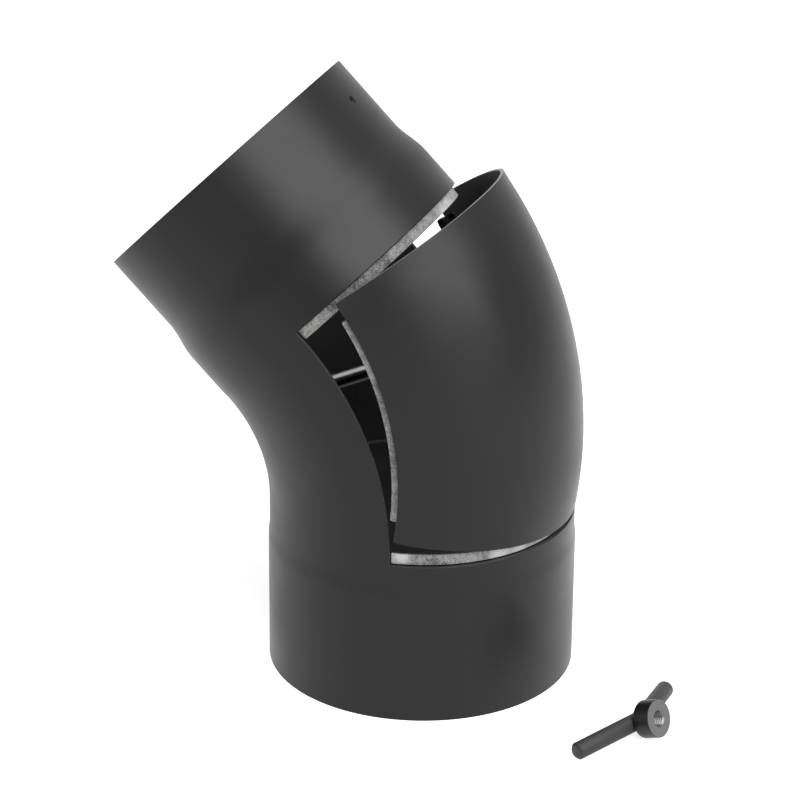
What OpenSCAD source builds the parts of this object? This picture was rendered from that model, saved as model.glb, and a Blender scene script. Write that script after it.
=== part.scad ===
// Stove pipe elbow of sheet steel with a cleaning door in the outer side of its bend.
// The wide end stands on the floor and points up +Z; the pipe bends towards -X; the door is on the +X side.
// The door is shown ajar, drawn outwards on its clamp rod, with the T-handle nut taken off.

/* [Pipe] */
// Inner diameter of the wide end, which is the pipe size
pipe_d = 150; // [120:1:180]
// Thickness of the sheet steel
wall = 2; // [1.5:0.1:2.5]
// Angle of the bend, in degrees
bend_angle = 45; // [40:1:50]
// Radius of the bend's centre line
bend_r = 144.5; // [135:0.5:165]
// Straight height of the wide end below the bend
leg_h = 87.6; // [84:0.1:130]
// Length of the socket at the wide end
socket_l = 70; // [50:1:74]
// How much wider the socket is, in radius, than the tube behind it
socket_step = 0.6; // [0.55:0.05:0.8]
// Straight length between the bend and the narrowing
collar_l = 25.4; // [20:0.1:40]
// How much the tube widens, in radius, where the drawn end starts
collar_step = 0.3; // [0.2:0.05:0.5]
// Length of the narrowing
swage_l = 19; // [12:0.5:30]
// Length of the neck
neck_l = 41.3; // [30:0.1:60]
// How much smaller the neck is across its outside than the wide end across its inside
neck_play = 2; // [1:0.1:4]
// Diameter of the screw hole in the neck
screw_hole_d = 4.2; // [3:0.1:6]
// Distance of the screw hole from the neck's rim
screw_hole_inset = 18.5; // [10:0.5:28]
// Radius of the weld bead inside the pipe
bead_r = 0.8; // [0.5:0.1:1.2]
// How far the weld bead's ends stay behind the window's sides
bead_inset = 4; // [3:0.5:10]

/* [Window] */
// Distance of the window's bottom edge below the start of the bend
window_below = 4.3; // [3:0.1:10]
// Distance of the window's top edge past the end of the bend
window_above = 3.4; // [2:0.1:8]
// How far the window's side edges lie in front of the pipe's middle
window_side = 8; // [7:0.5:20]
// Gap between the closed door and the window's edges
door_gap = 0.8; // [0.5:0.1:1.5]

/* [Seals] */
// Thickness of the stepped steel strips
strip_t = 1.5; // [1:0.1:2]
// Width of each strip that is welded under the steel
strip_seat_w = 7; // [5:0.5:12]
// How far the ledges reach into the window
ledge_reach = 5.4; // [5:0.1:9]
// How far the ledges' ends stay inside the window's corners
ledge_inset = 0.4; // [0.2:0.1:5]
// How far the door's side strips overhang its edges
strip_overhang = 3.6; // [3:0.1:4]
// How far the side strips stop before the door's top and bottom edges
strip_inset = 13; // [10:0.5:20]
// Length of the slanted step in each strip
step_l = 2.2; // [2:0.1:2.4]
// Thickness of the glass-fibre tape
tape_t = 1.6; // [1:0.1:2]
// Gap between the tape and the steel that closes on it
tape_play = 0.5; // [0.4:0.1:1]

/* [Clamp] */
// Diameter of the clamp rod
rod_d = 8; // [6:0.5:9]
// Slope of the clamp rod above the horizontal, in degrees
rod_angle = 25; // [22:0.5:27]
// Distance of the rod's line above the centre of the bend
rod_offset = 7; // [3:0.1:8]
// Distance of the bracket's pin inside the door
pin_depth = 17; // [15:0.1:20]
// How far the rod sticks out of the throat when the door is closed
rod_out = 23; // [21:0.5:30]
// Radial clearance of the rod in its bore
rod_play = 0.5; // [0.3:0.1:0.8]
// Diameter of the rod's eye
eye_d = 18; // [16:0.5:20]
// Thickness of the rod's eye
eye_t = 9; // [8.5:0.5:11]
// Diameter of the pin
pin_d = 6; // [5:0.5:7]
// Radial clearance of the pin
pin_play = 0.05; // [0.03:0.01:0.08]
// Diameter of the pin's heads
pin_head_d = 9; // [8:0.5:11]
// Thickness of the pin's heads
pin_head_t = 2; // [1.5:0.1:3]
// Thickness of the bracket's ears
ear_t = 3; // [2:0.1:4]
// Gap between the eye and each ear
ear_gap = 0.5; // [0.3:0.1:1]
// Thickness of the bracket's base on the door
bracket_base_t = 2; // [1.5:0.1:2.5]
// Width of the bracket's base
bracket_base_w = 34; // [30:1:44]
// Height of the bracket's base
bracket_base_h = 30; // [24:1:40]
// How far the door is drawn out along its rod
door_pull = 16.2; // [14:0.1:18]
// How far the drawn door leans outwards, in degrees
door_lean = 8.4; // [7:0.1:9]

/* [Handle] */
// Diameter of the handle's hub
hub_d = 18.7; // [17:0.1:22]
// Length of the handle's hub
hub_l = 9.5; // [8:0.1:12]
// Depth of the chamfer at the mouth of the thread
hub_chamfer = 0.8; // [0.4:0.1:1]
// Depth of the screw thread
thread_depth = 0.6; // [0.4:0.1:0.8]
// Diameter of the handle's arms
arm_d = 8.6; // [7:0.1:10]
// Length of each arm from the hub's axis
arm_l = 41.8; // [38:0.1:55]
// Lean of the arms away from the hub's front, in degrees
arm_lean = 16.5; // [14:0.5:30]
// How far the arms cross the axis behind the hub's middle
arm_set = 6.2; // [5:0.1:8]
// Chamfer on the arms' ends
arm_chamfer = 1.2; // [0.5:0.1:2]
// Distance of the handle from the pipe's axis along +X
handle_x = 134.5; // [125:0.5:160]
// Distance of the handle from the pipe's axis along -Y
handle_y = 51.6; // [50:0.1:90]
// Turn of the hub's axis away from +X towards -Y, in degrees
handle_turn = 18; // [0:1:40]

/* [Hidden] */
$fn = 96;
paint = "#3a3a3c";
bare = "#8d8d8f";
tape = "#b9b7b0";

// One overrun serves all cuts
over = wall;
pipe_r = pipe_d / 2 - socket_step;
outer_r = pipe_r + wall;
neck_r = pipe_d / 2 - neck_play / 2;
throat_r = bend_r - outer_r;
straight_l = collar_l + swage_l + neck_l;
window_low = leg_h - window_below;
window_half_angle = acos(window_side / pipe_r);
door_half_angle = acos((window_side + door_gap) / pipe_r);
ledge_half_angle = window_half_angle - ledge_inset / pipe_r * 180 / PI;
bead_from = window_half_angle + bead_inset / pipe_r * 180 / PI;
// The drawn end starts this much inside the bend
collar_lap = 2 * collar_step;

// Radii of the stepped strips: the seat touches the steel, the step leaves room for the tape
seat_in_r = pipe_r - strip_t;
tape_r = pipe_r - tape_play;
shelf_r = tape_r - tape_t;
shelf_in_r = shelf_r - strip_t;

// The rod's line, in the plane of symmetry
rod_dir = [cos(rod_angle), 0, sin(rod_angle)];
rod_up = [-sin(rod_angle), 0, cos(rod_angle)];
bend_centre = [-bend_r, 0, leg_h];
pin_r = bend_r + pipe_r - pin_depth;
pin_reach = sqrt(pin_r * pin_r - rod_offset * rod_offset);
pin_closed = bend_centre + rod_up * rod_offset + rod_dir * pin_reach;
throat_reach = sqrt(throat_r * throat_r - rod_offset * rod_offset);
rod_l = pin_reach - throat_reach + rod_out;

// Puts children that are drawn along +Z from the start of the bend at its end
module at_bend_end() {
    translate(bend_centre) rotate([0, -bend_angle, 0]) translate([bend_r, 0, 0]) children();
}

// Sweeps a section, drawn with +X away from the bend's centre, round the bend
module round_bend(from = 0, to = bend_angle) {
    translate(bend_centre) rotate([90, 0, 0]) rotate([0, 0, from])
        rotate_extrude(angle = to - from) translate([bend_r, 0]) children();
}

// Part of a tube wall between two radii and two angles, standing from z = 0
module tube_sector(r_in, r_out, half_angle, h) {
    rotate([0, 0, -half_angle]) rotate_extrude(angle = 2 * half_angle)
        translate([r_in, 0]) square([r_out - r_in, h]);
}

// The smooth narrowing, as the radius lost at each share of its length
function swage_loss(share) = (outer_r + collar_step - neck_r) * (1 - cos(180 * share)) / 2;

// Solid of the pipe's inside or outside, from the floor to the neck's rim
module pipe_solid(r, extra) {
    steps = 8;
    translate([0, 0, -extra]) cylinder(r = r + socket_step, h = socket_l + extra);
    cylinder(r = r, h = leg_h);
    round_bend() circle(r = r);
    at_bend_end() rotate_extrude() polygon([
        [0, -collar_lap], [r + collar_step, -collar_lap],
        for (i = [0 : steps]) [r + collar_step - swage_loss(i / steps), collar_l + swage_l * i / steps],
        [r + collar_step - swage_loss(1), straight_l + extra], [0, straight_l + extra]
    ]);
}

module pipe_shell() {
    difference() {
        pipe_solid(outer_r, 0);
        pipe_solid(pipe_r, over);
    }
}

// Everything between the window's edges, less a gap, as a block that runs from side to side
module window_block(gap) {
    reach = (bend_r + outer_r + over) / cos(bend_angle / 4);
    low = gap - window_below;
    high = window_above - gap;
    along = [-sin(bend_angle), cos(bend_angle)];
    width = 2 * (outer_r + over);
    translate(bend_centre) rotate([90, 0, 0]) linear_extrude(width, center = true) difference() {
        polygon([
            [0, low], [reach, low], reach * [cos(bend_angle / 2), sin(bend_angle / 2)],
            reach * [cos(bend_angle), sin(bend_angle)] + high * along, high * along
        ]);
        circle(r = bend_r + window_side + gap);
    }
}

module elbow_body() {
    color(paint) difference() {
        union() {
            pipe_shell();
            translate([0, 0, window_low]) rotate([0, 0, bead_from])
                rotate_extrude(angle = 360 - 2 * bead_from) translate([pipe_r, 0]) circle(r = bead_r);
        }
        window_block(0);
        translate(bend_centre + rod_up * rod_offset) rotate([0, 90 - rod_angle, 0])
            cylinder(d = rod_d + 2 * rod_play, h = throat_reach + pipe_r);
        at_bend_end() translate([0, 0, straight_l - screw_hole_inset]) rotate([0, 90, 0])
            cylinder(d = screw_hole_d, h = outer_r + over);
    }
}

// Section of a ledge: x is the radius, y runs from under the steel (below 0) to the open side.
// The seat lies this much further out where the tube is wider.
module ledge_section(wider) {
    polygon([
        [pipe_r + wider, -strip_seat_w], [pipe_r + wider, -step_l / 2 - door_gap], [shelf_r, step_l / 2 - door_gap],
        [shelf_r, ledge_reach], [shelf_in_r, ledge_reach], [shelf_in_r, step_l / 2 - door_gap - strip_t / 2],
        [seat_in_r + wider, -step_l / 2 - door_gap - strip_t / 2], [seat_in_r + wider, -strip_seat_w]
    ]);
}

// A ledge at an edge of the window, with the open side towards +Z
module ledge(wider) {
    rotate([0, 0, -ledge_half_angle]) rotate_extrude(angle = 2 * ledge_half_angle) ledge_section(wider);
}

module ledge_tape() {
    translate([0, 0, step_l / 2 - door_gap])
        tube_sector(shelf_r, tape_r, ledge_half_angle, ledge_reach - step_l / 2 + door_gap);
}

// Puts the ledge and its tape at the window's top or bottom edge
module at_window_bottom() { translate([0, 0, window_low]) children(); }
module at_window_top() { at_bend_end() translate([0, 0, window_above]) mirror([0, 0, 1]) children(); }

module ledge_top() { color(paint) at_window_top() ledge(collar_step); }
module ledge_bottom() { color(paint) at_window_bottom() ledge(0); }
module gasket_top() { color(tape) at_window_top() ledge_tape(); }
module gasket_bottom() { color(tape) at_window_bottom() ledge_tape(); }

// Moves what belongs to the door from its closed place to where it hangs, drawn out and leaning
module hung_door() {
    translate(pin_closed + rod_dir * door_pull) rotate([0, door_lean, 0]) translate(-pin_closed) children();
}

module door_shell() {
    intersection() {
        pipe_shell();
        window_block(door_gap);
    }
}

module door_panel() { color(paint) hung_door() door_shell(); }

// Angles round the pipe for the side strips, measured from the door's middle
strip_from = door_half_angle - strip_seat_w / pipe_r * 180 / PI;
strip_to = door_half_angle + strip_overhang / pipe_r * 180 / PI;
step_from = door_half_angle - step_l / pipe_r * 180 / PI;
// Angles round the bend between which the side strips run
strip_low = (strip_inset - window_below + door_gap) / (bend_r + pipe_r) * 180 / PI;
strip_high = bend_angle - (strip_inset - window_above + door_gap) / (bend_r + pipe_r) * 180 / PI;

// Points of a short arc, which a few straight steps follow closely
function arc(r, from, to, steps = 4) = [
    for (i = [0 : steps]) let (a = from + (to - from) * i / steps) r * [cos(a), sin(a)]
];

// Section of a side strip: seat under the door, step, then the shelf that overhangs the door's edge
module side_section() {
    polygon(concat(
        arc(pipe_r, strip_from, step_from), arc(shelf_r, door_half_angle, strip_to),
        arc(shelf_in_r, strip_to, door_half_angle), arc(seat_in_r, step_from, strip_from)
    ));
}

module side_tape_section() {
    polygon(concat(arc(tape_r, door_half_angle, strip_to), arc(shelf_r, strip_to, door_half_angle)));
}

// Runs a section along the door's side edge; the front side, -1, is towards -Y
module along_side(side) {
    hung_door() round_bend(strip_low, strip_high) mirror([0, side < 0 ? 0 : 1]) children();
}

module side_strip(side) { color(paint) along_side(side) side_section(); }
module side_tape(side) { color(tape) along_side(side) side_tape_section(); }

module side_strip_front() { side_strip(-1); }
module side_strip_back() { side_strip(1); }
module gasket_front() { side_tape(-1); }
module gasket_back() { side_tape(1); }

// Turns children drawn with +X along the rod and the pin's axis along Y, at the closed pin
module at_closed_pin() { translate(pin_closed) rotate([0, -rod_angle, 0]) children(); }

module pin_bore(r, w) { rotate([90, 0, 0]) cylinder(r = r, h = w, center = true); }

module rod_bracket() {
    ear_out = eye_t / 2 + ear_gap + ear_t;
    base_reach = pin_depth + bracket_base_t;
    color(paint) hung_door() intersection() {
        round_bend() circle(r = pipe_r);
        difference() {
            union() {
                difference() {
                    at_closed_pin() translate([0, -bracket_base_w / 2, -bracket_base_h / 2])
                        cube([base_reach + wall, bracket_base_w, bracket_base_h]);
                    round_bend() circle(r = pipe_r - bracket_base_t);
                }
                for (side = [-1, 1]) at_closed_pin() translate([0, side * (ear_out - ear_t / 2), 0]) {
                    pin_bore(eye_d / 2, ear_t);
                    translate([0, -ear_t / 2, -eye_d / 2]) cube([base_reach, ear_t, eye_d]);
                }
            }
            at_closed_pin() pin_bore(pin_d / 2 + pin_play, 2 * ear_out + over);
        }
    }
}

module bracket_pin() {
    pin_l = eye_t + 2 * (ear_gap + ear_t + pin_play);
    color(bare) hung_door() at_closed_pin() {
        pin_bore(pin_d / 2, pin_l + pin_head_t);
        for (side = [-1, 1]) translate([0, side * (pin_l + pin_head_t) / 2, 0]) pin_bore(pin_head_d / 2, pin_head_t);
    }
}

module clamp_rod() {
    tip = rod_d / 8;
    color(bare) translate(pin_closed + rod_dir * door_pull) rotate([0, -rod_angle, 0]) difference() {
        union() {
            pin_bore(eye_d / 2, eye_t);
            translate([-rod_l + tip, 0, 0]) rotate([0, 90, 0]) cylinder(d = rod_d, h = rod_l - tip - eye_d / 4);
            translate([-rod_l, 0, 0]) rotate([0, 90, 0]) cylinder(d1 = rod_d - 2 * tip, d2 = rod_d, h = tip);
        }
        pin_bore(pin_d / 2 + pin_play, eye_t + over);
    }
}

// The handle lies on the floor on its hub's back rim and on the ends of both arms, with its front tipped up
arm_r = arm_d / 2;
hub_r = hub_d / 2;
thread_r = rod_d / 2 - thread_depth;
arm_back = sin(arm_lean);
// Sine of the tip, found by putting each guess back into the height of the three resting points
function tip_sine(guess, tries) = tries == 0 ? guess : tip_sine(
    (hub_r * sqrt(1 - guess * guess) - arm_r * sqrt(1 - pow(arm_back * guess, 2)))
    / ((arm_l - arm_chamfer) * arm_back + arm_set - hub_l / 2), tries - 1);
handle_tip = asin(tip_sine(0, 12));
handle_z = hub_l / 2 * sin(handle_tip) + hub_r * cos(handle_tip);

module lying_handle() {
    translate([handle_x, -handle_y, handle_z]) rotate([0, 0, -handle_turn]) rotate([0, -handle_tip, 0]) children();
}

module thread_hole() {
    rotate([0, 90, 0]) {
        cylinder(r = thread_r, h = hub_l + over, center = true);
        for (end = [-1, 1]) translate([0, 0, end * hub_l / 2]) rotate([90 - 90 * end, 0, 0])
            translate([0, 0, -hub_chamfer]) cylinder(r1 = thread_r, r2 = thread_r + hub_chamfer + over, h = hub_chamfer + over);
    }
}

module handle_hub() {
    color(paint) lying_handle() difference() {
        rotate([0, 90, 0]) cylinder(r = hub_r, h = hub_l, center = true);
        thread_hole();
    }
}

// One arm, drawn along -Y or +Y from the hub's axis and leaning back to -X; it starts far enough
// on the other side for the two arms to meet in one bent bar
module arm(side) {
    arm_start = arm_r * tan(arm_lean);
    rotate([0, 0, side * (90 + arm_lean)]) rotate([0, 90, 0]) rotate_extrude() polygon([
        [0, -arm_start], [arm_r, -arm_start], [arm_r, arm_l - arm_chamfer], [arm_r - arm_chamfer, arm_l], [0, arm_l]
    ]);
}

// The bar sits flat on the hub's back, and the hole runs on through it
module handle_arms() {
    color(paint) lying_handle() difference() {
        translate([-arm_set, 0, 0]) union() for (side = [-1, 1]) arm(side);
        translate([-hub_l / 2, 0, 0]) rotate([0, 90, 0]) cylinder(r = arm_l, h = hub_l);
        rotate([0, 90, 0]) cylinder(r = thread_r, h = arm_l, center = true);
    }
}

elbow_body();
ledge_top();
ledge_bottom();
gasket_top();
gasket_bottom();
handle_hub();
handle_arms();
clamp_rod();
door_panel();
side_strip_front();
side_strip_back();
gasket_front();
gasket_back();
rod_bracket();
bracket_pin();
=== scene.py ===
import math

import bmesh
import bpy
import numpy as np
from mathutils import Matrix, Vector


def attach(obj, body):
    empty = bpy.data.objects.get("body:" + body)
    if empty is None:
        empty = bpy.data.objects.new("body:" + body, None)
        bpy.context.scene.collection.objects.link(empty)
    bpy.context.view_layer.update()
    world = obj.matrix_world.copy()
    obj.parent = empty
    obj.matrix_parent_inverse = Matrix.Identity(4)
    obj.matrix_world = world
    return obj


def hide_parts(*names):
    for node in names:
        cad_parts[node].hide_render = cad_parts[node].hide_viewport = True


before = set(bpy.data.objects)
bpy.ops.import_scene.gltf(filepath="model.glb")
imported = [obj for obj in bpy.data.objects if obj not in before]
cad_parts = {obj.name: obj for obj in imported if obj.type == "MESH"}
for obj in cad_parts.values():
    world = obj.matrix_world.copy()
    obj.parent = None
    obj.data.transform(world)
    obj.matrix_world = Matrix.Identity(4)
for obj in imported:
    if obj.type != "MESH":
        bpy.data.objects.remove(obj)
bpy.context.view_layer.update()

scene = bpy.context.scene

# The tube, in metres. Lengths along it start at the lower rim.
tube = {
    "outerR": 0.0764, "wall": 0.002, "legHeight": 0.0876,
    "bendR": 0.1445, "bendAngle": math.radians(45),
    "socketLength": 0.070, "socketStep": 0.0006,
    "collarLength": 0.0254, "collarStep": 0.0003, "stepHalf": 0.003,
    "swageLength": 0.019, "neckLength": 0.0413, "neckR": 0.074,
}
# The window passes the bend at both ends, and its sides stay in front of the axis. The gap is the saw cut.
window = {"below": 0.0043, "above": 0.0034, "side": 0.008, "gap": 0.0008}
# The rod's slope and its height over the bend's centre, and how far the door is drawn out and leans
clamp = {
    "angle": math.radians(25), "offset": 0.007, "pinDepth": 0.017,
    "pull": 0.0162, "lean": math.radians(8.4),
}
weldDistance = 0.00001  # points closer than this become one

bendEnd = tube["legHeight"] + tube["bendR"] * tube["bendAngle"]
swageStart = bendEnd + tube["collarLength"]
neckStart = swageStart + tube["swageLength"]
tubeEnd = neckStart + tube["neckLength"]
windowLow = tube["legHeight"] - window["below"]
windowHigh = bendEnd + window["above"]
middleR = tube["outerR"] - tube["wall"] / 2
innerR = tube["outerR"] - tube["wall"]
wholeTurn = 2 * math.pi * tube["outerR"]
windowHalf = math.acos(window["side"] / middleR) * tube["outerR"]  # as an arc on the outside
doorHalf = math.acos((window["side"] + window["gap"]) / middleR) * tube["outerR"]

rodDir = Vector((math.cos(clamp["angle"]), 0, math.sin(clamp["angle"])))
rodUp = Vector((-math.sin(clamp["angle"]), 0, math.cos(clamp["angle"])))
bendCentre = Vector((-tube["bendR"], 0, tube["legHeight"]))
pinReach = math.sqrt((tube["bendR"] + innerR - clamp["pinDepth"]) ** 2 - clamp["offset"] ** 2)
pinClosed = bendCentre + rodUp * clamp["offset"] + rodDir * pinReach
pinDrawn = pinClosed + rodDir * clamp["pull"]
hung = (Matrix.Translation(pinDrawn) @ Matrix.Rotation(clamp["lean"], 4, "Y")
        @ Matrix.Translation(-pinClosed))  # from the closed door's place to the drawn one


# Node helpers, for geometry and shader trees alike

def addNode(tree, kind, inputs=None, **settings):
    node = tree.nodes.new(kind)
    for key, value in settings.items():
        setattr(node, key, value)
    for key, value in (inputs or {}).items():
        if isinstance(value, bpy.types.NodeSocket):
            tree.links.new(value, node.inputs[key])
        else:
            node.inputs[key].default_value = value
    return node


def calc(tree, operation, *values):
    return addNode(tree, "ShaderNodeMath", dict(enumerate(values)), operation=operation).outputs[0]


def ramp(tree, value, low, high, toLow=0.0, toHigh=1.0, kind="SMOOTHSTEP"):
    inputs = {"Value": value, "From Min": low, "From Max": high, "To Min": toLow, "To Max": toHigh}
    return addNode(tree, "ShaderNodeMapRange", inputs, interpolation_type=kind).outputs[0]


def addSockets(tree, side, kinds):
    for name, kind, value in kinds:
        socket = tree.interface.new_socket(name, in_out=side, socket_type="NodeSocket" + kind)
        if value is not None:
            socket.default_value = value


def startTree(name, inputs):
    tree = bpy.data.node_groups.new(name, "GeometryNodeTree")
    addSockets(tree, "INPUT", [("Geometry", "Geometry", None)] + inputs + [("Material", "Material", None)])
    addSockets(tree, "OUTPUT", [("Geometry", "Geometry", None)])
    return tree, tree.nodes.new("NodeGroupInput").outputs


def closeTree(tree, geometry, material, chosen=True):
    real = addNode(tree, "GeometryNodeRealizeInstances", {"Geometry": geometry}).outputs[0]
    inputs = {"Geometry": real, "Selection": chosen, "Material": material}
    painted = addNode(tree, "GeometryNodeSetMaterial", inputs).outputs[0]
    addNode(tree, "NodeGroupOutput", {"Geometry": painted})
    return tree


def addTree(obj, tree, values):
    modifier = obj.modifiers.new(tree.name, "NODES")
    modifier.node_group = tree
    for item in tree.interface.items_tree:
        if item.item_type == "SOCKET" and item.in_out == "INPUT" and item.name in values:
            modifier[item.identifier] = values[item.name]


# Shader groups: only masks, colours and heights come out of them

def shaderGroup(name, inputs, outputs):
    group = bpy.data.node_groups.new(name, "ShaderNodeTree")
    addSockets(group, "INPUT", inputs)
    addSockets(group, "OUTPUT", outputs)
    place = addNode(group, "ShaderNodeTexCoord").outputs["Object"]
    return group, group.nodes.new("NodeGroupInput").outputs, place


def makeGrainGroup():
    group, given, place = shaderGroup("surfaceGrain",
                                      [("Scale", "Float", 1500.0), ("Cloud Scale", "Float", 18.0)],
                                      [("Height", "Float", None), ("Cloud", "Float", None)])
    inputs = {"Vector": place, "Scale": given["Scale"], "Detail": 4.0, "Roughness": 0.6}
    fine = addNode(group, "ShaderNodeTexNoise", inputs).outputs[0]
    inputs = {"Vector": place, "Scale": given["Cloud Scale"], "Detail": 3.0}
    broad = addNode(group, "ShaderNodeTexNoise", inputs).outputs[0]
    addNode(group, "NodeGroupOutput", {"Height": fine, "Cloud": broad})
    return group


def makeFleckGroup():
    group, given, place = shaderGroup("wornFlecks",
                                      [("Scale", "Float", 700.0), ("Amount", "Float", 0.4)],
                                      [("Mask", "Float", None)])
    softness = 0.08
    inputs = {"Vector": place, "Scale": given["Scale"], "Detail": 5.0, "Roughness": 0.7}
    spots = addNode(group, "ShaderNodeTexNoise", inputs).outputs[0]
    edge = calc(group, "SUBTRACT", 1.0, given["Amount"])
    mask = ramp(group, spots, edge, calc(group, "ADD", edge, softness))
    addNode(group, "NodeGroupOutput", {"Mask": mask})
    return group


def startMaterial(name, roughness, metallic=0.0, **constants):
    material = bpy.data.materials.new(name)
    material.use_nodes = True
    tree = material.node_tree
    shader = tree.nodes["Principled BSDF"]
    shader.inputs["Roughness"].default_value = roughness
    shader.inputs["Metallic"].default_value = metallic
    for key, value in constants.items():
        shader.inputs[key.replace("_", " ")].default_value = value
    return material, tree, shader


def mixColours(tree, factor, first, second):
    node = addNode(tree, "ShaderNodeMix", data_type="RGBA")
    for socket, value in ((node.inputs[0], factor), (node.inputs[6], first), (node.inputs[7], second)):
        if isinstance(value, bpy.types.NodeSocket):
            tree.links.new(value, socket)
        else:
            socket.default_value = value
    return node.outputs[2]


def useGroup(tree, group, inputs):
    node = tree.nodes.new("ShaderNodeGroup")
    node.node_tree = group
    for key, value in inputs.items():
        node.inputs[key].default_value = value
    return node.outputs


def bump(tree, shader, height, strength, distance):
    node = addNode(tree, "ShaderNodeBump", {"Height": height, "Strength": strength, "Distance": distance})
    tree.links.new(node.outputs[0], shader.inputs["Normal"])


def shaded(tone, shares=(1, 1, 1)):
    return [tone * share for share in shares] + [1]


# The satin black paint, and for each coat its tone, its roughness and the bare flecks on cut edges
paint = {
    "spread": 0.001, "roughSpread": 0.04, "shine": 0.27, "grain": 1500.0, "cloud": 22.0,
    "grainStrength": 0.35, "grainDepth": 0.00002, "cloudShares": (1, 1, 1.02),
    "fleckScale": 900.0, "fleckShares": (1, 1, 1.01),
}
coats = {
    "blackPaint": {"base": 0.0025, "roughness": 0.37},
    "cutEdge": {"base": 0.025, "roughness": 0.38, "wear": 0.38, "wornTone": 0.24},
    # The door's cut edges: the bare flecks are wear, and the lighter base is a painted highlight where the
    # lamp above catches the edge.
    "wornEdgeAndHighlight": {"base": 0.17, "roughness": 0.36, "wear": 0.4, "wornTone": 0.35},
    # The inner faces: a lighter copy of the black paint, painted light that brightens the shaded inside of
    # the tube and the door.
    "innerPaintWithPaintedLight": {"base": 0.045, "roughness": 0.5},
    "seamMetal": {"base": 0.16, "roughness": 0.4},
    "turnedFace": {"base": 0.09, "roughness": 0.42},
    "barPaint": {"base": 0.022, "roughness": 0.5},
}


def makePaint(name, base, roughness, wear=0.0, wornTone=0.0):
    material, tree, shader = startMaterial(name, roughness, Specular_IOR_Level=paint["shine"])
    grain = useGroup(tree, grainGroup, {"Scale": paint["grain"], "Cloud Scale": paint["cloud"]})
    low, high = base - paint["spread"] / 2, base + paint["spread"] / 2
    colour = mixColours(tree, grain["Cloud"], shaded(low), shaded(high, paint["cloudShares"]))
    change = paint["roughSpread"]
    rough = ramp(tree, grain["Cloud"], 0.3, 0.7, roughness - change, roughness + change)
    if wear:
        flecks = useGroup(tree, fleckGroup, {"Scale": paint["fleckScale"], "Amount": wear})
        colour = mixColours(tree, flecks["Mask"], colour, shaded(wornTone, paint["fleckShares"]))
    tree.links.new(colour, shader.inputs["Base Color"])
    tree.links.new(rough, shader.inputs["Roughness"])
    bump(tree, shader, grain["Height"], paint["grainStrength"], paint["grainDepth"])
    return material


# The woven tape. Each light is a ramp: from, to, and what it adds at both ends. The broad patches are
# painted light, brighter blotches standing in for light that falls on the tape through the gap.
tapeLook = {
    "dark": 0.05, "light": 0.2, "paintedLightTone": 0.55, "fleck": (0.6, 0.6, 0.58, 1), "warmShares": (1, 0.99, 0.96),
    "pitch": 0.0009, "weave": 0.00006, "weaveNoise": 420.0, "weaveUneven": 5.0,
    "roughness": 0.85, "sheen": 0.25, "sheenRoughness": 0.6, "bumpStrength": 0.6, "bumpDepth": 0.0001,
    "grain": 3000.0, "cloud": 160.0, "paintedLightGrain": 900.0, "paintedLightCloud": 38.0,
    "fleckScale": 620.0, "fleckAmount": 0.52, "fleckShare": 0.2,
    "weaveLight": (-0.7, 0.7, 0.15, 0.45), "cloudLight": (0.35, 0.65, -0.2, 0.25),
    "paintedLightAdd": (0.35, 0.5, -0.15, 0.4), "paintedLightBlend": (0.5, 0.64, 0.0, 0.75),
}


def makeTape():
    look = tapeLook
    material, tree, shader = startMaterial("glassTape", look["roughness"], Sheen_Weight=look["sheen"],
                                           Sheen_Roughness=look["sheenRoughness"])
    flat = addNode(tree, "ShaderNodeAttribute", attribute_name="sheetPlace").outputs["Vector"]
    x, y, z = addNode(tree, "ShaderNodeSeparateXYZ", {0: flat}).outputs
    turns = math.pi / look["pitch"]
    over = calc(tree, "MULTIPLY", calc(tree, "SINE", calc(tree, "MULTIPLY", x, turns)),
                calc(tree, "SINE", calc(tree, "MULTIPLY", y, turns)))
    flecks = useGroup(tree, fleckGroup, {"Scale": look["fleckScale"], "Amount": look["fleckAmount"]})
    grain = useGroup(tree, grainGroup, {"Scale": look["grain"], "Cloud Scale": look["cloud"]})
    # Broad patches of painted light, standing in for light that falls on the tape through the gap
    paintedLightPatches = useGroup(tree, grainGroup, {"Scale": look["paintedLightGrain"], "Cloud Scale": look["paintedLightCloud"]})
    light = calc(tree, "ADD", ramp(tree, over, *look["weaveLight"]),
                 ramp(tree, grain["Cloud"], *look["cloudLight"]))
    light = calc(tree, "ADD", light, ramp(tree, paintedLightPatches["Cloud"], *look["paintedLightAdd"]))
    dark, bright, paintedLightTone = (shaded(look[key], look["warmShares"]) for key in ("dark", "light", "paintedLightTone"))
    colour = mixColours(tree, light, dark, bright)
    # The brightest of these patches blend to a light tone: painted light
    colour = mixColours(tree, ramp(tree, paintedLightPatches["Cloud"], *look["paintedLightBlend"]), colour, paintedLightTone)
    specks = calc(tree, "MULTIPLY", flecks["Mask"], look["fleckShare"])
    colour = mixColours(tree, specks, colour, look["fleck"])
    tree.links.new(colour, shader.inputs["Base Color"])
    height = calc(tree, "ADD", over, grain["Height"])
    bump(tree, shader, height, look["bumpStrength"], look["bumpDepth"])
    return material


# Dark drawn steel. What faces down is darkened: painted shade on the underside.
steelLook = {
    "darkShares": (0.75, 0.75, 0.76), "lightShares": (1.2, 1.2, 1.2), "shadeFrom": -0.1, "shadeTo": 0.6,
    "grain": 2400.0, "cloud": 60.0, "smoother": 0.08, "rougher": 0.1,
    "grainStrength": 0.3, "grainDepth": 0.00002,
}
steels = {
    # The rod gets a strong painted shade where it faces down.
    "darkSteel": {"tone": 0.42, "roughness": 0.3, "undersideShade": 0.1},
    # The nut's thread: steel far darker than bare steel, painted shade for the inside of the bore.
    "threadSteelPaintedShade": {"tone": 0.12, "roughness": 0.28, "undersideShade": 1.0},
}


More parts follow.
